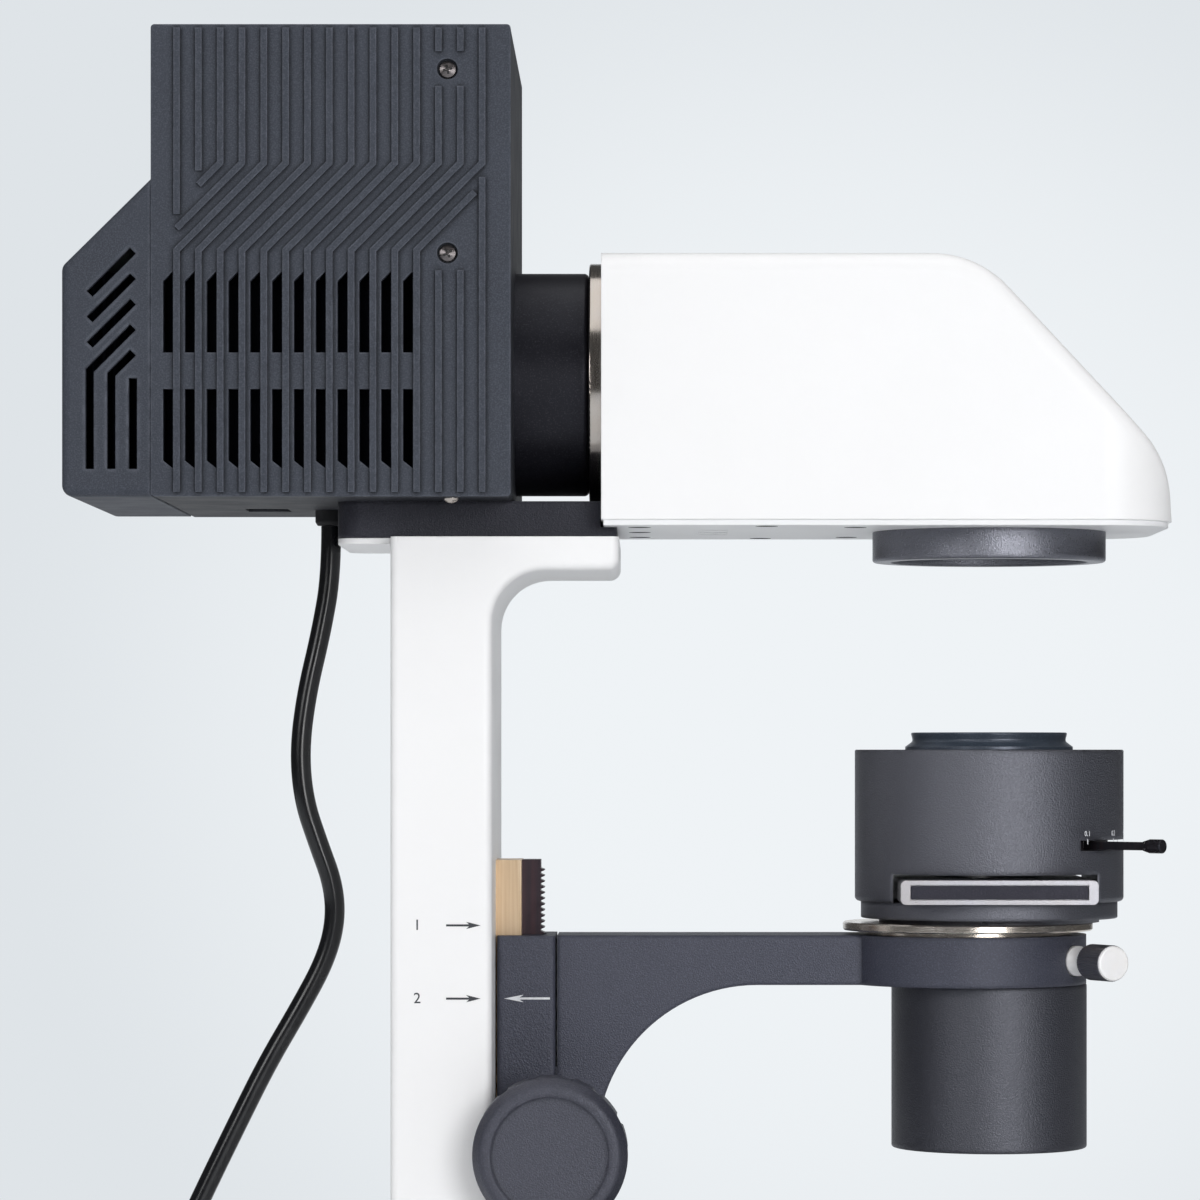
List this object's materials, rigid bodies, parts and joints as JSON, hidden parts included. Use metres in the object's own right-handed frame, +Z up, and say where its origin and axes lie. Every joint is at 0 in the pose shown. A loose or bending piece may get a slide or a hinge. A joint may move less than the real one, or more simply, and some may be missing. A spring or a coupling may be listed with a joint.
{
  "type": "inverted microscope",
  "caption": "Inverted microscope with a pillar lamp house, a condenser on a rack, a flat stage, a nosepiece below it and angled eyepieces.",
  "frame": {"origin": "on the table, under the middle of the whole instrument", "axes": "+X towards the user at the eyepieces, +Y to the user's right seen from the lamp house, +Z up"},
  "size_m": [0.484, 0.2432, 0.572],
  "materials": {
    "white_paint": "smooth satin white stove enamel over cast aluminium",
    "stand_paint": "satin off-white paint with a fine texture over cast aluminium",
    "black_paint": "black paint with a fine wrinkle",
    "lamp_plastic": "matte moulded dark grey plastic",
    "steel_plate": "zinc plated sheet steel",
    "dark_steel": "blackened steel",
    "bright_steel": "ground bright steel",
    "nickel": "nickel plate",
    "brass": "drawn brass",
    "black_aluminium": "black anodised",
    "aluminium": "clear anodised",
    "knob_plastic": "black moulded plastic",
    "rubber": "soft black rubber",
    "cord_pvc": "glossy black PVC",
    "glass": "clear optical glass",
    "mirror": "front surface mirror",
    "ceramic": "unglazed white ceramic"
  },
  "bodies": {
    "stand": {"stand_body": "stand_paint", "base_cover": "steel_plate", "feet": "rubber", "stage_plate": "black_aluminium", "stage_insert": "glass", "column": "white_paint", "bracket_plate": "black_paint", "guide_bar": "brass", "rack": "dark_steel", "head_shell": "white_paint", "head_plate": "steel_plate", "head_screws": "dark_steel", "head_mirror": "mirror", "field_ring": "black_aluminium", "field_lens": "glass", "lamp_cover_near": "lamp_plastic", "lamp_cover_far": "lamp_plastic", "lamp_screws": "nickel", "lamp_frame": "lamp_plastic", "lamp_hood": "lamp_plastic", "collector_tube": "black_aluminium", "collector_flange": "nickel", "collector_lens": "glass", "bulb_socket": "ceramic", "halogen_bulb": "glass", "lamp_lead": "cord_pvc", "lead_gland": "rubber", "lead_socket": "nickel", "lead_plug": "rubber", "view_head": "stand_paint"},
    "carrier": {"carrier_block": "black_paint", "carrier_arm": "black_paint", "condenser_tube": "black_aluminium", "condenser_lens": "glass", "condenser_flange": "nickel", "condenser_base": "black_aluminium", "condenser_body": "black_aluminium", "condenser_top_ring": "black_aluminium", "condenser_top_lens": "glass"},
    "clamp": {"clamp_screw": "nickel"},
    "pinion": {"pinion_shaft": "bright_steel", "condenser_knobs": "knob_plastic"},
    "iris": {"iris_lever": "dark_steel"},
    "slider": {"phase_slider": "nickel", "phase_ring": "glass"},
    "carriage": {"focus_carriage": "black_aluminium"},
    "nosepiece": {"turret": "aluminium", "objective_low": "nickel", "objective_medium": "nickel", "objective_high": "nickel", "objective_highest": "nickel"},
    "coarse": {"coarse_knobs": "knob_plastic"},
    "fine": {"fine_drive": "knob_plastic"},
    "near_eye": {"eye_tube_near": "black_aluminium", "eyepiece_near": "knob_plastic"},
    "far_eye": {"eye_tube_far": "black_aluminium", "eyepiece_far": "knob_plastic"},
    "switch": {"power_switch": "knob_plastic"},
    "dial": {"brightness_dial": "knob_plastic"},
    "path": {"path_knob": "knob_plastic"}
  },
  "joints": [
    {"name": "condenser_height", "type": "slide", "parent": "stand", "child": "carrier", "axis": [0, 0, 1], "range_m": [-0.01, 0.02]},
    {"name": "condenser_pinion", "type": "hinge", "parent": "carrier", "child": "pinion", "pos_m": [-0.11317, 0, 0.2743], "axis": [0, 1, 0], "range_deg": [-384, 193]},
    {"name": "clamp_turn", "type": "hinge", "parent": "carrier", "child": "clamp", "pos_m": [0.02853, -0.01641, 0.32375], "axis": [0.454, -0.891, 0], "range_deg": [0, 360]},
    {"name": "iris_turn", "type": "hinge", "parent": "carrier", "child": "iris", "pos_m": [0.00633, 0, 0.3541], "axis": [0, 0, 1], "range_deg": [-8, 88]},
    {"name": "slider_push", "type": "slide", "parent": "carrier", "child": "slider", "axis": [0, 1, 0], "range_m": [-0.036, 0]},
    {"name": "focus_height", "type": "slide", "parent": "stand", "child": "carriage", "axis": [0, 0, 1], "range_m": [-0.004, 0.01]},
    {"name": "nosepiece_turn", "type": "hinge", "parent": "carriage", "child": "nosepiece", "pos_m": [-0.01829, 0, 0.13066], "axis": [-0.1736, 0, 0.9848], "continuous": true},
    {"name": "coarse_turn", "type": "hinge", "parent": "stand", "child": "coarse", "pos_m": [0.03633, 0, 0.036], "axis": [0, 1, 0], "range_deg": [-40.2, 97.5]},
    {"name": "fine_turn", "type": "hinge", "parent": "coarse", "child": "fine", "pos_m": [0.03633, 0, 0.036], "axis": [0, 1, 0], "continuous": true},
    {"name": "near_eye_fold", "type": "hinge", "parent": "stand", "child": "near_eye", "pos_m": [0.13633, 0, 0.199], "axis": [0.7071, 0, 0.7071], "range_deg": [-15, 15]},
    {"name": "far_eye_fold", "type": "hinge", "parent": "stand", "child": "far_eye", "pos_m": [0.13633, 0, 0.199], "axis": [0.7071, 0, 0.7071], "range_deg": [-15, 15]},
    {"name": "switch_rock", "type": "hinge", "parent": "stand", "child": "switch", "pos_m": [-0.13367, -0.0865, 0.032], "axis": [0, 0, 1], "range_deg": [-8, 8]},
    {"name": "dial_turn", "type": "hinge", "parent": "stand", "child": "dial", "pos_m": [0.12433, -0.088, 0.032], "axis": [0, 1, 0], "range_deg": [0, 270]},
    {"name": "path_pull", "type": "slide", "parent": "stand", "child": "path", "axis": [0, -1, 0], "range_m": [0, 0.012]}
  ],
  "couplings": [
    {"joint": "condenser_pinion", "follows": "condenser_height", "rad_per_m": -333.33},
    {"joint": "coarse_turn", "follows": "focus_height", "rad_per_m": 166.66},
    {"joint": "far_eye_fold", "follows": "near_eye_fold", "ratio": -1}
  ]
}
